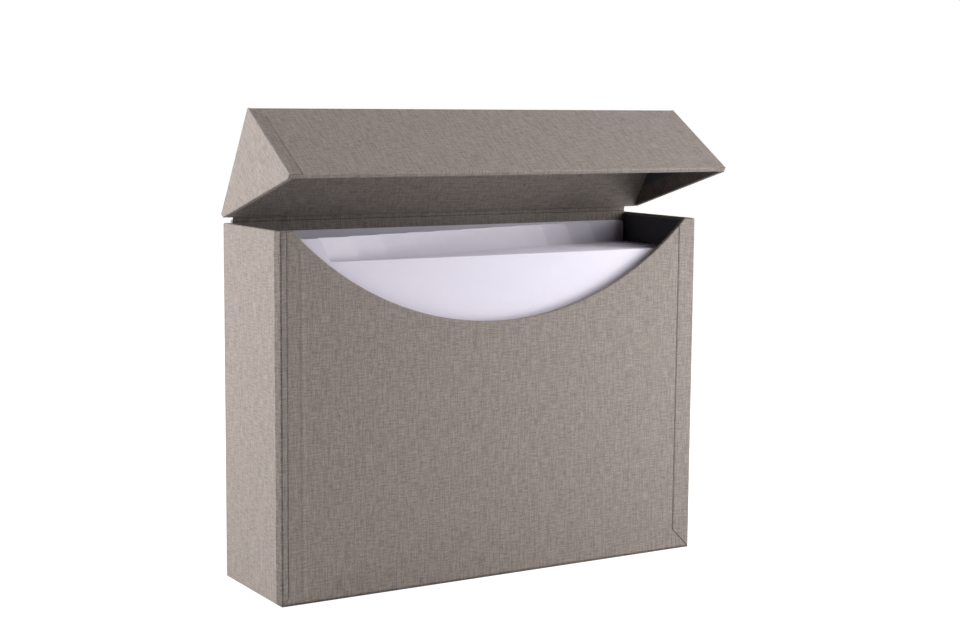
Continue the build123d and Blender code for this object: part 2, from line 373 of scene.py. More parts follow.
def arc(radius, start, end, steps):
    """Offsets on an arc about its centre, both ends included; angles in degrees."""
    angles = [math.radians(start + (end - start) * k / steps) for k in range(steps + 1)]
    return [(radius * math.cos(a), radius * math.sin(a)) for a in angles]


def spread(start, end, count):
    """Evenly spaced values from start to end, both included."""
    return [start + (end - start) * k / count for k in range(count + 1)]


def sheet_piece(name, grid, outward, thickness, closed=False, smooth=40):
    """Linen skinned over a grid of (point, weave, painted shade), thickened behind its face.

    grid is a list of stations, each a list of (Vector, (u, v), painted shade). outward is a direction that
    the face of the first station's middle row should look towards. closed joins the last station to the first
    and fills the first row's ring. Edges sharper than smooth, in degrees, stay sharp."""
    bm = bmesh.new()
    uv_layer = bm.loops.layers.uv.new("weave")
    painted_shade_layer = bm.verts.layers.float.new("painted_shade")
    verts = []
    for station in grid:
        row = []
        for point, _, painted_shade in station:
            vert = bm.verts.new(point)
            vert[painted_shade_layer] = painted_shade
            row.append(vert)
        verts.append(row)
    count = len(grid)
    pairs = [(i, (i + 1) % count) for i in range(count if closed else count - 1)]
    for i, k in pairs:
        for j in range(len(grid[i]) - 1):
            corners = ((i, j), (k, j), (k, j + 1), (i, j + 1))
            face = bm.faces.new([verts[a][b] for a, b in corners])
            face.smooth = True
            for loop, (a, b) in zip(face.loops, corners):
                loop[uv_layer].uv = grid[a][b][1]
    if closed:
        face = bm.faces.new([verts[i][0] for i in range(count)])
        face.smooth = True
        for loop, i in zip(face.loops, range(count)):
            loop[uv_layer].uv = grid[i][0][1]
    bmesh.ops.remove_doubles(bm, verts=bm.verts, dist=MERGE)
    bmesh.ops.dissolve_degenerate(bm, edges=bm.edges, dist=MERGE)
    bmesh.ops.recalc_face_normals(bm, faces=bm.faces)
    middle = Vector(grid[0][len(grid[0]) // 2][0])
    nearest = min(bm.faces, key=lambda f: (f.calc_center_median() - middle).length)
    if nearest.normal.dot(Vector(outward)) < 0:
        bmesh.ops.reverse_faces(bm, faces=bm.faces)
    mesh = bpy.data.meshes.new(name)
    bm.to_mesh(mesh)
    bm.free()
    mesh.set_sharp_from_angle(angle=math.radians(smooth))
    piece = bpy.data.objects.new(name, mesh)
    bpy.context.scene.collection.objects.link(piece)
    mesh.materials.append(finish("linen"))
    if thickness:
        thick = piece.modifiers.new("Cloth thickness", "SOLIDIFY")
        thick.thickness = thickness
        thick.offset = -1.0
    weighted = piece.modifiers.new("Flat panels", "WEIGHTED_NORMAL")
    weighted.keep_sharp = True
    return piece


def glue_on(piece, body, node):
    """Says which body a cloth rides on and which node it covers."""
    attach(piece, body)
    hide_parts(node)


def with_weave(points, first_v, u, painted_shade=None):
    """Turns a station's points into grid entries, with the weave's v measured along them."""
    v = first_v
    entries = []
    for j, point in enumerate(points):
        if j:
            v += (point - points[j - 1]).length
        entries.append((point, (u, v), painted_shade[j] if painted_shade else 0.0))
    return entries


def sway(x, z, reach, seed):
    """How far a glued panel's face rises, a little uneven as hand-covered board is."""
    waves = 14  # to a metre
    return reach * (0.5 + 0.5 * noise.noise(Vector((x * waves + seed, z * waves, seed))))


def clamped(value):
    """The value, held between 0 and 1."""
    return max(0.0, min(1.0, value))


# ---------------------------------------------------------------- the box's cloth

RIM_STEPS = 5
FOOT_STEPS = 4
CORNER_STEPS = 4
FOLD_STEPS = 6
WALL_ROWS = 14
FOOT_ROWS = FOOT_STEPS + 2
HAIR = 0.00005  # a step too small to see, which keeps two rows apart
UNDERLAP = 0.0008  # how far the front cloth's ends stop short of the corners
BEND_ROOM = 0.0006  # a column this near a bend keeps the cloth flat up to it


class Scoop:
    """The round hand scoop in the front wall."""

    def __init__(self):
        size = sizes()
        self.half = size.half_width - size.scoop_side
        self.drop = size.scoop_drop
        self.radius = (self.half**2 + self.drop**2) / (2 * self.drop)
        self.centre_z = size.height - self.drop + self.radius
        self.height = size.height

    def rim(self, x):
        """Rim point's z and the direction down into the wall, at x."""
        if abs(abs(x) - self.half) < 1e-7:
            down = Vector((math.copysign(self.half, x), self.height - self.centre_z)).normalized()
            both = (down + Vector((0, -1))).normalized()
            return self.height, both / both.dot(Vector((0, -1)))
        if abs(x) > self.half:
            return self.height, Vector((0, -1))
        z = self.centre_z - math.sqrt(self.radius**2 - x * x)
        return z, Vector((x, z - self.centre_z)).normalized()


def flat_rim(_x):
    """The straight rim of the back and side walls."""
    return sizes().height, Vector((0, -1))


def rim_points(outer, outward, inner, shift, x, rim, hidden):
    """Points over a wall's rim, from its outer face to the lip inside. Hidden ones stay below the rim."""
    size = sizes()
    r = size.rim_radius
    z, down = rim(x)

    def at(plan, depth):
        """A point this deep below the rim, over a place in plan."""
        return Vector((plan.x + depth * down.x, plan.y, z + depth * down.y))

    if hidden:
        below = r * 1.15
        return [at(outer, below)] * (2 * RIM_STEPS + 3)
    points = []
    for a, b in arc(r, 180, 90, RIM_STEPS):
        points.append(at(outer - outward * (r + a), r - b))
    for a, b in arc(r, 90, 0, RIM_STEPS):
        points.append(at(inner + shift * (r - a), r - b))
    points.append(at(inner, size.rim_lip))
    return points


def side_stations(turn, depth):
    """Stations along one side's cloth, from its hem on the front round to its hem on the back, each as
    point in plan, outward direction and face."""
    size = sizes()
    w, d, c = size.half_width, size.half_depth, size.corner_radius
    inner_x, inner_y = w - size.wall_side, d - size.wall_front
    crease = size.pressed_length - d
    scoop = Scoop()
    stations = []
    hem = w - turn
    front_x = {hem, hem + size.seam_shadow_line, hem + size.seam_fade}
    front_x |= {scoop.half, scoop.half + BEND_ROOM, inner_x, w - c - depth}
    front_x = sorted(x for x in front_x if x >= hem - 1e-9)
    if turn > size.scoop_side:
        front_x = sorted(set(front_x + spread(hem + size.seam_fade + 0.0005, scoop.half - BEND_ROOM, 4)))
    side_y = [0.0] + [inner_y * k / 6 for k in range(1, 6)] + [inner_y, (inner_y + d - c) / 2, d - c]
    side_y = set([-y for y in side_y] + side_y)
    if depth:
        softness = 0.0003
        side_y |= {crease - softness, crease, crease + softness}

    def pressed_in(y):
        """How far the side is pressed in at y."""
        return depth * clamped((crease - y) / size.pressed_length)

    for x in front_x:
        stations.append((Vector((x, -d)), Vector((0, -1)), "front"))
    for a, b in arc(1, -90, 0, CORNER_STEPS):
        y = -d + c + c * b
        stations.append((Vector((w - c + c * a - pressed_in(y), y)), Vector((a, b)), "corner"))
    for y in sorted(side_y):
        stations.append((Vector((w - pressed_in(y), y)), Vector((1, 0)), "side"))
    for a, b in arc(1, 0, 90, CORNER_STEPS):
        stations.append((Vector((w - c + c * a, d - c + c * b)), Vector((a, b)), "corner"))
    for x in reversed(sorted({*front_x, w - c})):
        stations.append((Vector((x, d)), Vector((0, 1)), "back"))
    return stations


def side_cloth(name, side, turn, node, depth=0.0, seam=1.0):
    """One side's cloth, turned round the corners onto the front and back, over the rim and under the base.

    depth is how far the side is pressed in at its front corner, seam how dark the shadow line painted along
    the turned-over edge is."""
    size = sizes()
    w, d = size.half_width, size.half_depth
    inner_x, inner_y = w - size.wall_side, d - size.wall_front
    hem = w - turn
    crease = size.pressed_length - d
    scoop = Scoop()
    mitre = 0.0012  # width of the dark line along the mitred foot
    ramp = 0.0015  # the rims of two walls run into each other over this width
    grid = []
    u, last = 0.0, None
    for outer, outward, kind in side_stations(turn, depth):
        if last is not None:
            u += (outer - last).length
        last = outer
        inner = Vector((min(outer.x, inner_x), max(-inner_y, min(inner_y, outer.y))))
        over_x = clamped((outer.x - inner_x) / ramp)
        over_y = clamped((abs(outer.y) - inner_y) / ramp)
        shift = Vector((over_x, math.copysign(over_y, outer.y)))
        points, painted_shade = [], []
        turned = kind in ("front", "back")
        edge = max(0.0, 1 - (outer.x - hem) / size.seam_fade) if turned else 0.0
        sink = size.layer * 0.5 * edge
        # The turned-over edge gets a painted shadow line, as dark as seam says.
        dull = seam * min(1.0, edge / (1 - size.seam_shadow_line / size.seam_fade))
        # Shade is painted on the flat pressed into the side, darker on the side than round the corner.
        if depth and outer.y < crease - MERGE and kind != "front":
            dull = 0.4 + 0.45 * outward.x  # darker on the side than round the corner
        if turned:
            foot = w - outer.x  # the mitre runs up at 45 degrees
            # Shade is painted along the mitred foot, darkest at its lowest row.
            for k in range(FOOT_ROWS):
                near = 1 - k / (FOOT_ROWS - 1)
                rise = mitre * (1 - near)
                plan = outer - outward * max(sink, size.layer * 0.7 * near)
                points.append(Vector((plan.x, plan.y, foot + rise)))
                painted_shade.append(max(dull, near))
            start = foot + mitre
        else:
            r = size.foot_radius
            under = r + HAIR
            if kind == "side":
                under = max(under, min(size.under_lip, d - abs(outer.y)))
            plan = outer - outward * under
            points.append(Vector((plan.x, plan.y, 0)))
            painted_shade.append(dull)
            for a, b in arc(r, -90, -180, FOOT_STEPS):
                plan = outer - outward * (r + a)
                points.append(Vector((plan.x, plan.y, r + b)))
                painted_shade.append(dull)
            start = r
        rim = scoop.rim if kind == "front" else flat_rim
        over = rim_points(outer, outward, inner, shift, outer.x, rim, False)
        top = over[0]
        for k in range(1, WALL_ROWS):
            share = k / WALL_ROWS
            z = start + (top.z - start) * share
            x = outer.x + (top.x - outer.x) * share
            swell = 0.0 if turned else sway(outer.y, z, 0.00008, 3 + side)
            plan = Vector((x, outer.y)) - outward * (sink - swell)
            points.append(Vector((plan.x, plan.y, z)))
            painted_shade.append(dull)
        points += over
        painted_shade += [dull] * len(over)
        entries = with_weave(points, start - (points[FOOT_ROWS - 1] - points[0]).length, u, painted_shade)
        grid.append([(Vector((p.x * side, p.y, p.z)), uv, e) for p, uv, e in entries])
    piece = sheet_piece(name, grid, (0, -1, 0), size.cloth)
    glue_on(piece, "box", node)


def wall_cloth(name, facing, node, rim, xs):
    """The front or back cloth, under the side cloths' turned-over strips."""
    size = sizes()
    w, d = size.half_width, size.half_depth
    outward = Vector((0, facing))
    plane = (d - size.layer) * facing
    inner_y = (d - size.wall_front) * facing
    left_seam, right_seam = -w + size.turn_left, w - size.turn_right
    foot_shade_heights = (0.0006, 0.0014)  # shade is painted on the foot up to the first height, and none from the second
    ridge_width = 0.0011
    flat, easing = 0.001, 0.004  # beside a seam the panel is flat, and then it starts to swell
    grid = []
    for x in xs:
        hidden = x < left_seam - MERGE or x > right_seam + MERGE
        outer = Vector((x, plane))
        inner = Vector((x, inner_y))
        r = size.foot_radius
        under = max(r + HAIR, min(size.under_lip, w - abs(x)))
        points = [Vector((x, plane - facing * under, 0))]
        for a, b in arc(r, -90, -180, FOOT_STEPS):
            points.append(Vector((x, plane - facing * (r + a), r + b)))
        points += [Vector((x, plane, r + rise)) for rise in foot_shade_heights]
        # Painted shade where the foot rolls under the base.
        foot_shade = [0.9] * (FOOT_ROWS + 1)
        over = rim_points(outer, outward, inner, outward, x, rim, hidden)
        top = over[0]
        for k in range(1, WALL_ROWS):
            share = k / WALL_ROWS
            z = r + (top.z - r) * share
            clear = clamped((min(x - left_seam, right_seam - x) - flat) / easing)
            rise = sway(x, z, 0.00010, 9 + facing) * clear
            from_ridge = x - left_seam - size.ridge_place
            rise += size.ridge_height * math.exp(-((from_ridge / ridge_width) ** 2))
            points.append(Vector((x + (top.x - x) * share, plane + facing * rise, z)))
        points += over
        foot_shade += [0.0] * (len(points) - len(foot_shade))
        grid.append(with_weave(points, r - (points[FOOT_ROWS - 1] - points[0]).length, x, foot_shade))
    piece = sheet_piece(name, grid, (0, facing, 0), size.cloth)
    glue_on(piece, "box", node)


def cloth_columns():
    """Where the front cloth's columns stand, closer round the scoop's ends and the seams."""
    size = sizes()
    w = size.half_width
    scoop = Scoop()
    left, right = -w + size.turn_left, w - size.turn_right
    xs = {UNDERLAP - w, left - HAIR, left, left + 0.002, right - 0.002, right, right + HAIR, w - UNDERLAP}
    xs |= set(spread(left + size.ridge_place - 0.003, left + size.ridge_place + 0.003, 8))
    for step in (0.0, BEND_ROOM, -BEND_ROOM, -0.003):
        xs |= {scoop.half + step, -scoop.half - step}
    reach = math.asin((scoop.half - 0.006) / scoop.radius)  # how far round the scoop's arc, in radians
    xs |= {scoop.radius * math.sin(reach * k / 30) for k in range(-30, 31)}
    ordered = sorted(xs)
    kept = [ordered[0]]
    fixed = {left - HAIR, left, right, right + HAIR, scoop.half, -scoop.half}
    for x in ordered[1:]:
        if x - kept[-1] >= 0.0004 or x in fixed:
            kept.append(x)
    return kept


def base_sheet(name, node):
    """The cloth panel under the base, inside the turned-under margins."""
    size = sizes()
    gap = 0.0003
    x1, y1 = size.half_width - size.under_lip - gap, size.half_depth - size.under_lip - gap
    grid = []
    for x in spread(-x1, x1, 12):
        grid.append([(Vector((x, y, 0)), (x, y), 0.0) for y in spread(-y1, y1, 4)])
    piece = sheet_piece(name, grid, (0, 0, -1), size.cloth)
    glue_on(piece, "box", node)


# ---------------------------------------------------------------- the lid's cloth

CHEEK_ROWS = 16  # every station has as many rows, and the last one is repeated where fewer are needed


def opened(point):
    """A point of the shut lid, where the lid stands open at rest."""
    angle = math.radians(LID_HINGE["range_deg"][0])
    return Matrix.Rotation(angle, 3, "X") @ (Vector(point) - PIVOT) + PIVOT


def opened_way(direction):
    """A direction of the shut lid, as it points where the lid stands open at rest."""
    return opened(direction) - opened((0, 0, 0))


class Lid:
    """Where the shut lid's faces are."""

    def __init__(self):
        size = sizes()
        self.half = size.lid_half_width
        self.under = size.height + size.lid_gap
        self.top = self.under + size.lid_top_wall
        self.flap_inner = -size.half_depth - size.flap_gap
        self.front = self.flap_inner - size.wall_front
        self.rear = PIVOT.y - size.lid_setback
        self.flap_end = size.height - size.scoop_drop - size.flap_cover


def lid_cover(name, node):
    """One cloth over the flap and the top, turned in at the flap's foot and at the rear edge."""
    size, lid = sizes(), Lid()
    r, fold = size.lid_corner_radius, size.lid_fold_radius - size.layer
    front, top = lid.front + size.layer, lid.top - size.layer
    past_turn, past_fold = 0.004, 0.002  # how far from a bend the flat face starts
    turn_in = [(lid.flap_inner, lid.flap_end + size.lid_lip), (lid.flap_inner, lid.flap_end + past_turn)]
    turn_in += [(lid.flap_inner - r + a, lid.flap_end + r + b) for a, b in arc(r, 0, -90, CORNER_STEPS)]
    turn_in += [(front + r + a, lid.flap_end + r + b) for a, b in arc(r, -90, -180, CORNER_STEPS)]
    flap = [(front, z) for z in spread(lid.flap_end + past_turn, top - fold - past_fold, 8)]
    path = turn_in + flap
    swelling = range(len(turn_in) - 1, len(turn_in) + 7)  # the flap's rows, which bulge a little
    path += [(front + fold + a, top - fold + b) for a, b in arc(fold, 180, 90, FOLD_STEPS)]
    path += [(y, top) for y in spread(front + fold + past_fold, lid.rear - r - past_fold, 8)]
    path += [(lid.rear - r + a, top - r + b) for a, b in arc(r, 90, 0, CORNER_STEPS)]
    path += [(lid.rear, lid.under + 0.0004)]
    reach = lid.half - r
    left, right = -lid.half + size.lid_turn_left, lid.half - size.lid_turn_right
    grid = []
    for x in sorted(set(spread(-reach, reach, 30) + [left, right])):
        points = []
        for j, (y, z) in enumerate(path):
            swell = sway(x, z, 0.00010, 21) if j in swelling else 0.0
            points.append(opened((x, y - swell, z)))
        grid.append(with_weave(points, 0.0, x))
    piece = sheet_piece(name, grid, opened_way((0, -1, 0)), size.cloth)
    glue_on(piece, "lid", node)


def lid_underside(name, node):
    """The cloth under the lid's top."""
    size, lid = sizes(), Lid()
    inner = lid.half - size.wall_side
    grid = []
    for x in spread(-inner, inner, 24):
        points = [opened((x, y, lid.under)) for y in spread(lid.rear, lid.flap_inner, 6)]
        entries = with_weave(points, 0.0, x)
        grid.append([(point, (v, u), painted_shade) for point, (u, v), painted_shade in entries])
    piece = sheet_piece(name, grid, opened_way((0, 0, -1)), size.cloth)
    glue_on(piece, "lid", node)


def cheek_outline():
    """Stations round a cheek in (y, z), as point, outward direction and edge, each edge's two corners,
    and where the slanting edge starts, its direction and its length."""
    fold, lid = sizes().lid_fold_radius, Lid()
    slant_start = Vector((lid.rear, lid.under))
    slant = Vector((lid.flap_inner, lid.flap_end)) - slant_start
    run = slant.length
    slant.normalize()
    normals = {
        "top": Vector((0, 1)),
        "rear": Vector((1, 0)),
        "slant": Vector((-slant.y, slant.x)),
        "foot": Vector((0, -1)),
        "front": Vector((-1, 0)),
    }

    def corner(y, z, first, second):
        """A station on the corner between two edges."""
        both = (normals[first] + normals[second]).normalized()
        return Vector((y, z)), both / both.dot(normals[first]), "corner"

    tip = corner(lid.front, lid.top, "front", "top")
    rear_top = corner(lid.rear, lid.top, "top", "rear")
    rear_under = corner(lid.rear, lid.under, "rear", "slant")
    foot_inner = corner(lid.flap_inner, lid.flap_end, "slant", "foot")
    foot_front = corner(lid.front, lid.flap_end, "foot", "front")
    ends = {
        "fold": (tip, tip),
        "top": (tip, rear_top),
        "slant": (rear_under, foot_inner),
        "front": (foot_front, tip),
    }
    # Stations stand closer together near the fold, the mitre and the corners. Distances are along the edge.
    from_fold = [0.0004, 0.002, 0.005, 0.0095, 0.014, 0.0145, 0.022, 0.035, 0.05, 0.066]
    from_rear = [0.0015, 0.006, 0.012, 0.02, 0.035, 0.05, 0.065, 0.08, 0.09]
    before_foot = [0.0115, 0.006, 0.0015]
    above_foot = [0.0003, 0.0012]
    stations = []
    centre = Vector((lid.front + fold, lid.top - fold))
    for a, b in arc(1, 180, 90, FOLD_STEPS):
        stations.append((centre + Vector((a, b)) * fold, Vector((a, b)), "fold"))
    for y in [lid.front + fold + s for s in from_fold] + [lid.rear - from_rear[0]]:
        stations.append((Vector((y, lid.top)), normals["top"], "top"))
    stations += [rear_top, rear_under]
    for s in from_rear + [run - s for s in before_foot]:
        stations.append((slant_start + slant * s, normals["slant"], "slant"))
    stations += [foot_inner, foot_front]
    for z in [lid.flap_end + s for s in above_foot] + [lid.top - fold - s for s in reversed(from_fold)]:
        stations.append((Vector((lid.front, z)), normals["front"], "front"))
    return stations, ends, slant_start, slant, run


def kept_between(at, out, offset, ends):
    """Moves a point of the cheek's face along its edge, so that it stays between the edge's two corners."""
    along = Vector((-out.y, out.x))
    limits = sorted((point + way * offset).dot(along) for point, way, _ in ends)
    place = at.dot(along)
    return at + along * (max(limits[0], min(limits[1], place)) - place)


def strip_outside(reach, seam, strip, feather):
    """Rows of a cheek's cloth turned onto the lid as far as reach, thinned at its edge and painted with
    shade, darkest at the edge.
    """
    size = sizes()
    r = size.lid_corner_radius
    near = min(feather, (reach - r) * 0.5)
    turned = reach > r + 0.001
    rows = []
    for s in [r + (reach - near - r) * k / 3 for k in (1, 2, 3)] + [reach - near * 0.45, reach]:
        edge = 1.0 - min(1.0, (reach - s) / feather) if turned else 0.0
        dull = max(seam * min(1.0, 1.8 * edge), strip) if turned else 0.0
        rows.append((s, -size.layer * 0.9 * edge, s, dull))
    return rows


def strip_inside(s, run):
    """Rows of a cheek's cloth turned inside, at the distance s along a slanting edge as long as run."""
    size = sizes()
    # shaded is the shade painted on the strip turned inside the cheek, which lies in the lid's shadow.
    r, thick, shaded = size.lid_corner_radius, size.wall_side, 0.65
    # The strip is cut slanting at both ends, to stay clear of the top and of the flap.
    lip = max(min(size.lid_lip, 1.13 * (run - s), 0.885 * s + 0.0005), r + 0.0001)
    rows = [(thick / 2, 0.0, thick / 2, 0.0)]
    for a, b in arc(r, 90, 0, CORNER_STEPS):
        rows.append((thick - r + a, b - r, thick + (r - b), shaded * (1 - b / r)))
    for k in (1, 2, 3):
        depth = r + (lip - r) * k / 3
        rows.append((thick, -depth, thick + depth, shaded))
    return rows


def cheek_cloth(name, side, turn, node, seam, strip, feather):
    """One cheek's cloth: its face, a strip turned onto the top and flap, and a strip turned inside.

    seam is how dark the shadow line painted along the turned strip's edge is, strip how dark the shade
    painted on the strip itself is, and feather how wide the edge is thinned."""
    size, lid = sizes(), Lid()
    r = size.lid_corner_radius
    stations, ends, slant_start, slant, run = cheek_outline()
    grid = []
    for point, out, kind in stations:
        # Each row: x inward from the face, offset outward in the cheek's plane, way along the cloth, painted
        # shade.
        rows = [(0.0, -0.002, -0.002, 0.0)]
        for a, b in arc(r, 0, 90, CORNER_STEPS):
            rows.append((r - a, b - r, -r + r * math.asin(min(1.0, b / r)), 0.0))
        if kind == "slant":
            rows += strip_inside((point - slant_start).dot(slant), run)
        else:
            # On the top and the flap the strip is mitred at 45 degrees towards the fold.
            mitred = {"top": point.x - lid.front, "front": lid.top - point.y, "fold": r + 0.0004}
            reach = max(min(turn, mitred.get(kind, 0.0)), r + HAIR)
            rows += strip_outside(reach, seam, strip, feather)
        rows += [rows[-1]] * (CHEEK_ROWS - len(rows))
        entries = []
        for inward, offset, along, edge in rows:
            at = point + out * offset
            flat = point + out * along
            if inward == 0.0 and kind == "fold":
                at = flat = ends["fold"][0][0] + ends["fold"][0][1] * offset
            elif inward < r and kind in ends and kind != "fold":
                at = kept_between(at, out, offset, ends[kind])
                flat = kept_between(flat, out, offset, ends[kind])
            entries.append((opened((side * (lid.half - inward), at.x, at.y)), (flat.x, flat.y), edge))
        grid.append(entries)
    piece = sheet_piece(name, grid, (side, 0, 0), size.cloth, closed=True)
    glue_on(piece, "lid", node)


# ---------------------------------------------------------------- the hinge


def tongue_cover(name, node):
    """The tongue's cloth: wrapped round the board with soft edges."""
    low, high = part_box(node)
    r = 0.0007  # rounding of its edges
    rings = []
    for a, b in arc(r, 180, 90, CORNER_STEPS):
        rings.append((low.x + r + a, r - b))
    for a, b in arc(r, 90, 0, CORNER_STEPS):
        rings.append((high.x - r + a, r - b))
    rings[0], rings[-1] = (low.x, r), (high.x, r)
    rings += [(x, 0.0) for x in spread(low.x + 0.01, high.x - 0.01, 20)]
    rings = sorted(set(rings))
    grid = []
    for x, inset in rings:
        points = []
        radius = r - inset + 0.0001
        y0, y1, z0, z1 = low.y + inset, high.y - inset, low.z + inset, high.z - inset
        turns = [((y1, z0), -90, 0), ((y1, z1), 0, 90), ((y0, z1), 90, 180), ((y0, z0), 180, 270)]
        for (y, z), start, end in turns:
            cy = y - radius if y == y1 else y + radius
            cz = z - radius if z == z1 else z + radius
            points += [Vector((x, cy + a, cz + b)) for a, b in arc(radius, start, end, CORNER_STEPS)]
        points.append(points[0].copy())
        grid.append(with_weave(points, 0.0, x))
    piece = sheet_piece(name, grid, (-1, 0, 0), 0.0)
    bm = bmesh.new()
    bm.from_mesh(piece.data)
    open_edges = [e for e in bm.edges if len(e.link_faces) == 1]
    bmesh.ops.holes_fill(bm, edges=open_edges)
    bmesh.ops.recalc_face_normals(bm, faces=bm.faces)
    bm.to_mesh(piece.data)
    bm.free()
    glue_on(piece, "box", node)


def hinge_cloth(name, nodes):
    """The doubled cloth from the tongue to the lid's rear edge, bent to meet the lid where it stands open at
    rest.
    """
    size, lid = sizes(), Lid()
    low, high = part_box("body_hinge_strip")
    tongue_low, tongue_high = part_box("hinge_tongue_cloth")
    face = tongue_low.y - size.hinge_cloth / 2
    bend = tongue_high.z - 0.0008
    path = [(face, z) for z in (low.z, bend - 0.006, bend - 0.0012, bend - 0.0006, bend)]
    path += [(PIVOT.y + 0.0003, PIVOT.z - 0.001), (PIVOT.y, PIVOT.z)]
    lid_part = [(lid.rear + 0.0004, lid.top + HAIR), (lid.rear - 0.002, lid.top), (lid.rear - 0.008, lid.top)]
    rest = [opened((0, y, z)) for y, z in lid_part]
    middle = (Vector((0, PIVOT.y, PIVOT.z)) + rest[0]) / 2
    path += [(middle.y, middle.z)] + [(p.y, p.z) for p in rest]
    # Shade is painted as dark lines where the cloth creases, leaving the tongue and meeting the lid.
    crease_shade = [0.0, 0.0, 0.0, 1.0, 0.0, 0.0, 0.0, 0.0, 1.0, 0.0, 0.0]
    grid = []
    for x in spread(low.x, high.x, 40):
        points = [Vector((x, y, z)) for y, z in path]
        grid.append(with_weave(points, 0.0, x, crease_shade))
    piece = sheet_piece(name, grid, (0, -1, 0), size.hinge_cloth, smooth=70)
    piece.modifiers["Cloth thickness"].offset = 0.0
    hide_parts(*nodes)
    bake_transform(piece)


# ---------------------------------------------------------------- operators


class FILEBOX_OT_box_core(bpy.types.Operator):
    """Paint the boards and the black paper of the box and the lid"""

    bl_idname = "filebox.box_core"
    bl_label = "Boards and Lining"

    def execute(self, context):
        for name in frame["nodes"]:
            if name.endswith("_board"):
                paint(name, "greyboard")
            elif name.endswith("_lining"):
                paint(name, "lining")
        return {"FINISHED"}


class FILEBOX_OT_box_cloth(bpy.types.Operator):
    """Cover the box in linen book cloth"""

    bl_idname = "filebox.box_cloth"
    bl_label = "Box Cloth"

    def execute(self, context):
        size = sizes()
        columns = cloth_columns()
        wall_cloth("box_front_cloth", -1, "front_cloth", Scoop().rim, columns)
        wall_cloth("box_back_cloth", 1, "back_cloth", flat_rim, columns)
        side_cloth("box_left_cloth", -1, size.turn_left, "left_cloth", depth=size.pressed_depth)
        side_cloth("box_right_cloth", 1, size.turn_right, "right_cloth", seam=0.45)
        base_sheet("box_base_cloth", "base_cloth")
        return {"FINISHED"}


class FILEBOX_OT_lid_cloth(bpy.types.Operator):
    """Cover the lid in linen book cloth"""

    bl_idname = "filebox.lid_cloth"
    bl_label = "Lid Cloth"

    def execute(self, context):
        size = sizes()
        lid_cover("lid_top_cloth", "lid_outer_cloth")
        lid_underside("lid_underside_cloth", "lid_inner_cloth")
        left, right = size.lid_turn_left, size.lid_turn_right
        cheek_cloth("lid_cheek_cloth_left", -1, left, "lid_left_cheek_cloth", 1.0, 0.2, 0.0009)
        cheek_cloth("lid_cheek_cloth_right", 1, right, "lid_right_cheek_cloth", 0.05, 0.0, 0.006)
        return {"FINISHED"}


class FILEBOX_OT_hinge(bpy.types.Operator):
    """Make the cloth hinge and the tongue that carries it"""

    bl_idname = "filebox.hinge"
    bl_label = "Cloth Hinge"

    def execute(self, context):
        tongue_cover("hinge_tongue_cover", "hinge_tongue_cloth")
        hinge_cloth("hinge_cloth", ["body_hinge_strip", "lid_hinge_strip"])
        return {"FINISHED"}


# Shade painted on each card, as its tone against the palest, from the front to the backing sheet.
CARD_PAINTED_SHADES = (0.77, 0.97, 0.94, 0.90, 0.93, 0.94, 0.96, 0.98, 1.00, 0.86, 0.72, 0.60, 0.95)


class FILEBOX_OT_dividers(bpy.types.Operator):
    """Paint the dividers and the backing sheet as smooth card, each with its painted shade"""

    bl_idname = "filebox.dividers"
    bl_label = "Dividers"

    def execute(self, context):
        for name, tone in zip(DIVIDERS + ["backing_sheet"], CARD_PAINTED_SHADES):
            frame["nodes"][name]["card_tone"] = tone
            paint(name, "card")
        return {"FINISHED"}


class FILEBOX_OT_stage(bpy.types.Operator):
    """Set the floor, the lamps and the camera"""

    bl_idname = "filebox.stage"
    bl_label = "Stage"

    def execute(self, context):
        floor()
        backdrop()
        lamps()
        camera()
        return {"FINISHED"}


# ---------------------------------------------------------------- the stage


def white_paper_floor():
    """Seamless white background paper, matt: lit by the lamps, lifted to white where the camera sees it."""
    material, tree, output = new_material("white_background_paper")
    rays = add(tree, "ShaderNodeLightPath")
    plain = add(tree, "ShaderNodeBsdfDiffuse", {"Color": (*colours().floor, 1), "Roughness": 0.5})
    # Away from the box the paper fades to pure white, so that no horizon shows.
    place = add(tree, "ShaderNodeTexCoord").outputs["Object"]
    away = add(tree, "ShaderNodeVectorMath", links={0: place}, operation="LENGTH").outputs["Value"]
    lift = add(
        tree,
        "ShaderNodeMapRange",
        {"From Min": 0.2, "From Max": 0.8, "To Min": 1.75, "To Max": 2.0},
        {"Value": away},
    )
    glow = add(tree, "ShaderNodeEmission", {"Color": (1, 1, 1, 1)}, {"Strength": lift.outputs["Result"]})
    dim = add(tree, "ShaderNodeMixShader", {"Fac": 0.5}, {1: plain.outputs[0], 2: glow.outputs[0]})
    seen = add(
        tree,
        "ShaderNodeMixShader",
        links={"Fac": rays.outputs["Is Camera Ray"], 1: plain.outputs[0], 2: dim.outputs[0]},
    )
    tree.links.new(seen.outputs[0], output.inputs["Surface"])
    return material


def floor():
    """A wide round floor."""
    bm = bmesh.new()
    bmesh.ops.create_circle(bm, cap_ends=True, segments=96, radius=6.0)
    mesh = bpy.data.meshes.new("studio_floor")
    bm.to_mesh(mesh)
    bm.free()
    mesh.materials.append(white_paper_floor())
    piece = bpy.data.objects.new("studio_floor", mesh)
    bpy.context.scene.collection.objects.link(piece)


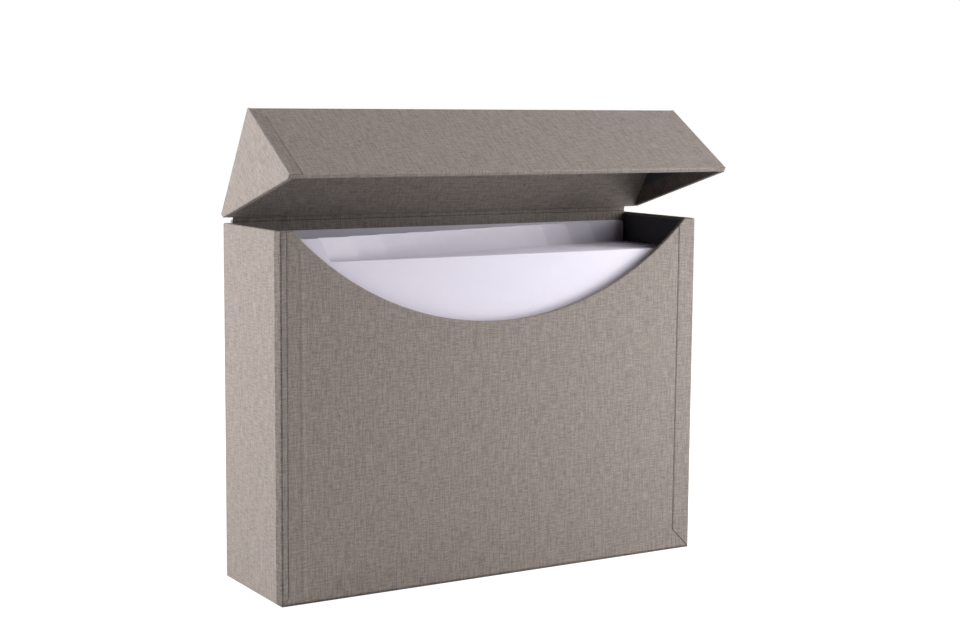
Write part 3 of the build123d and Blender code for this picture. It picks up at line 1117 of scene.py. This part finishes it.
def backdrop():
    """White all round where the camera looks, and almost no light from it on the box."""
    world = bpy.data.worlds.new("studio")
    bpy.context.scene.world = world
    world.use_nodes = True
    tree = world.node_tree
    tree.nodes.clear()
    rays = add(tree, "ShaderNodeLightPath")
    strength = add(
        tree,
        "ShaderNodeMapRange",
        {"To Min": 0.01, "To Max": 1.0},
        {"Value": rays.outputs["Is Camera Ray"]},
    )
    sky = add(tree, "ShaderNodeBackground", {"Color": (1, 1, 1, 1)}, {"Strength": strength.outputs["Result"]})
    add(tree, "ShaderNodeOutputWorld", links={"Surface": sky.outputs[0]})


LAMPS = {
    # name: place, aim, width, height, power in watts
    "left_softbox": ((-1.35, 0.55, 0.60), (0, 0, 0.16), 0.9, 0.9, 36.0),
    "right_softbox": ((0.62, -0.62, 0.62), (0.1, -0.05, 0.16), 0.45, 0.45, 4.0),
    "low_right_softbox": ((0.55, -0.42, 0.22), (0.1, -0.05, 0.12), 0.4, 0.4, 3.6),
    "top_softbox": ((0, -0.5, 1.6), (0, 0, 0.2), 1.0, 1.0, 11.8),
}


def lamps():
    """Soft area lamps behind left, front right and above."""
    for name, (place, aim, wide, tall, power) in LAMPS.items():
        light = bpy.data.lights.new(name, "AREA")
        light.shape = "RECTANGLE"
        light.size, light.size_y, light.energy = wide, tall, power
        lamp = bpy.data.objects.new(name, light)
        lamp.location = place
        lamp.rotation_euler = (Vector(aim) - Vector(place)).to_track_quat("-Z", "Y").to_euler()
        bpy.context.scene.collection.objects.link(lamp)


CAMERA_PLACE = (-0.63285, -1.0738, 0.32602)
CAMERA_TURN = 30.936  # degrees from +Y towards +X
CAMERA_PITCH = 6.964  # degrees down
CAMERA_ROLL = 0.429  # degrees
CAMERA_LENS = 66.675  # mm on a 36 mm sensor


def camera():
    """The camera at the photograph's place."""
    turn, pitch, roll = (math.radians(a) for a in (CAMERA_TURN, CAMERA_PITCH, CAMERA_ROLL))
    forward = Vector((math.sin(turn) * math.cos(pitch), math.cos(turn) * math.cos(pitch), -math.sin(pitch)))
    right = Vector((math.cos(turn), -math.sin(turn), 0))
    up = right.cross(forward)
    right, up = math.cos(roll) * right + math.sin(roll) * up, -math.sin(roll) * right + math.cos(roll) * up
    data = bpy.data.cameras.new("camera")
    data.lens, data.sensor_width = CAMERA_LENS, 36.0
    data.clip_start, data.clip_end = 0.05, 50.0
    seat = bpy.data.objects.new("camera", data)
    rotation = Matrix((right, up, -forward)).transposed()
    seat.matrix_world = Matrix.Translation(CAMERA_PLACE) @ rotation.to_4x4()
    bpy.context.scene.collection.objects.link(seat)
    bpy.context.scene.camera = seat


# ---------------------------------------------------------------- add-on


class FILEBOX_PT_panel(bpy.types.Panel):
    """Makes the file box piece by piece"""

    bl_idname = "FILEBOX_PT_panel"
    bl_label = "File Box"
    bl_space_type = "VIEW_3D"
    bl_region_type = "UI"
    bl_category = "File Box"

    def draw(self, context):
        for operator in OPERATORS:
            self.layout.operator(operator.bl_idname)
        for group in (context.scene.file_box_sizes, context.scene.file_box_colours):
            box = self.layout.box()
            for name in group.__annotations__:
                box.prop(group, name)


OPERATORS = (
    FILEBOX_OT_box_core,
    FILEBOX_OT_box_cloth,
    FILEBOX_OT_lid_cloth,
    FILEBOX_OT_hinge,
    FILEBOX_OT_dividers,
    FILEBOX_OT_stage,
)
CLASSES = (FileBoxSizes, FileBoxColours, *OPERATORS, FILEBOX_PT_panel)


def register():
    """Adds the classes and the sizes and colours of the scene."""
    for cls in CLASSES:
        bpy.utils.register_class(cls)
    bpy.types.Scene.file_box_sizes = bpy.props.PointerProperty(type=FileBoxSizes)
    bpy.types.Scene.file_box_colours = bpy.props.PointerProperty(type=FileBoxColours)


def unregister():
    """Takes them away again."""
    del bpy.types.Scene.file_box_colours
    del bpy.types.Scene.file_box_sizes
    for cls in reversed(CLASSES):
        bpy.utils.unregister_class(cls)


def main():
    """Makes everything."""
    register()
    bpy.context.scene.view_settings.view_transform = "Standard"
    bpy.ops.filebox.box_core()
    bpy.ops.filebox.box_cloth()
    bpy.ops.filebox.lid_cloth()
    bpy.ops.filebox.hinge()
    bpy.ops.filebox.dividers()
    bpy.ops.filebox.stage()


if __name__ == "__main__":
    main()
